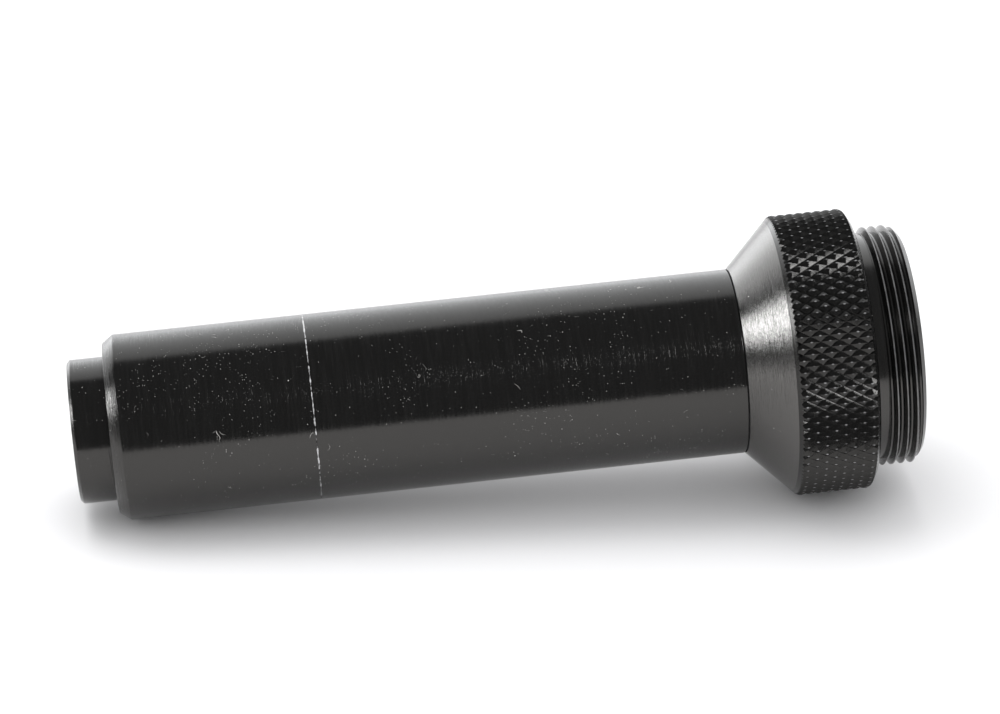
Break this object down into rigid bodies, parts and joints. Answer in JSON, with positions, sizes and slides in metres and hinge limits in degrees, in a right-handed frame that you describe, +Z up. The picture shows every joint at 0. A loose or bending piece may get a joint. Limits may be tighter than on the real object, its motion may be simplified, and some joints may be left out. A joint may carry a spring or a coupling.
{
  "type": "barlow lens",
  "caption": "Slim telescope barlow: a two-part eyepiece barrel with a screw-in negative lens cell at the nose and a flared, knurled collar with a male thread.",
  "frame": {"origin": "on the optical axis, at the plane where the barrel meets the knurled collar", "axes": "+X along the optical axis from the lens end to the threaded eyepiece end, +Z up, +Y makes a right-handed frame"},
  "size_m": [0.1107, 0.0372, 0.0373],
  "materials": {
    "barrel_black": "black anodised, turned, semi-gloss",
    "collar_black": "black anodised, turned and knurled, satin",
    "cell_black": "black anodised, turned",
    "stop_black": "matt black anodised",
    "crown_glass": "polished, coated",
    "flint_glass": "polished, coated"
  },
  "bodies": {
    "barrel": {"main_tube": "barrel_black", "barrel_light_stop": "stop_black"},
    "nose_carrier": {"nose_light_stop": "stop_black"},
    "nose": {"nose_tube": "barrel_black"},
    "doublet": {"crown_lens": "crown_glass", "flint_lens": "flint_glass", "lens_spacer_ring": "stop_black"},
    "cell": {"lens_cell": "cell_black", "lens_retaining_ring": "cell_black"},
    "collar_carrier": {"field_stop": "stop_black"},
    "collar": {"knurled_collar": "collar_black"}
  },
  "joints": [
    {"name": "nose_travel", "type": "slide", "parent": "barrel", "child": "nose_carrier", "axis": [-1, 0, 0], "range_m": [0, 0.0045]},
    {"name": "nose_unscrew", "type": "hinge", "parent": "nose_carrier", "child": "nose", "pos_m": [-0.05635, 0, 0], "axis": [-1, 0, 0], "range_deg": [0, 2160]},
    {"name": "cell_travel", "type": "slide", "parent": "nose", "child": "doublet", "axis": [-1, 0, 0], "range_m": [0, 0.0035]},
    {"name": "cell_unscrew", "type": "hinge", "parent": "doublet", "child": "cell", "pos_m": [-0.08285, 0, 0], "axis": [-1, 0, 0], "range_deg": [0, 2520]},
    {"name": "collar_travel", "type": "slide", "parent": "barrel", "child": "collar_carrier", "axis": [1, 0, 0], "range_m": [0, 0.0045]},
    {"name": "collar_unscrew", "type": "hinge", "parent": "collar_carrier", "child": "collar", "pos_m": [0, 0, 0], "axis": [1, 0, 0], "range_deg": [0, 2160]}
  ],
  "couplings": [
    {"joint": "nose_travel", "follows": "nose_unscrew", "m_per_rad": 0.00011937},
    {"joint": "cell_travel", "follows": "cell_unscrew", "m_per_rad": 0.000079577},
    {"joint": "collar_travel", "follows": "collar_unscrew", "m_per_rad": 0.00011937}
  ]
}
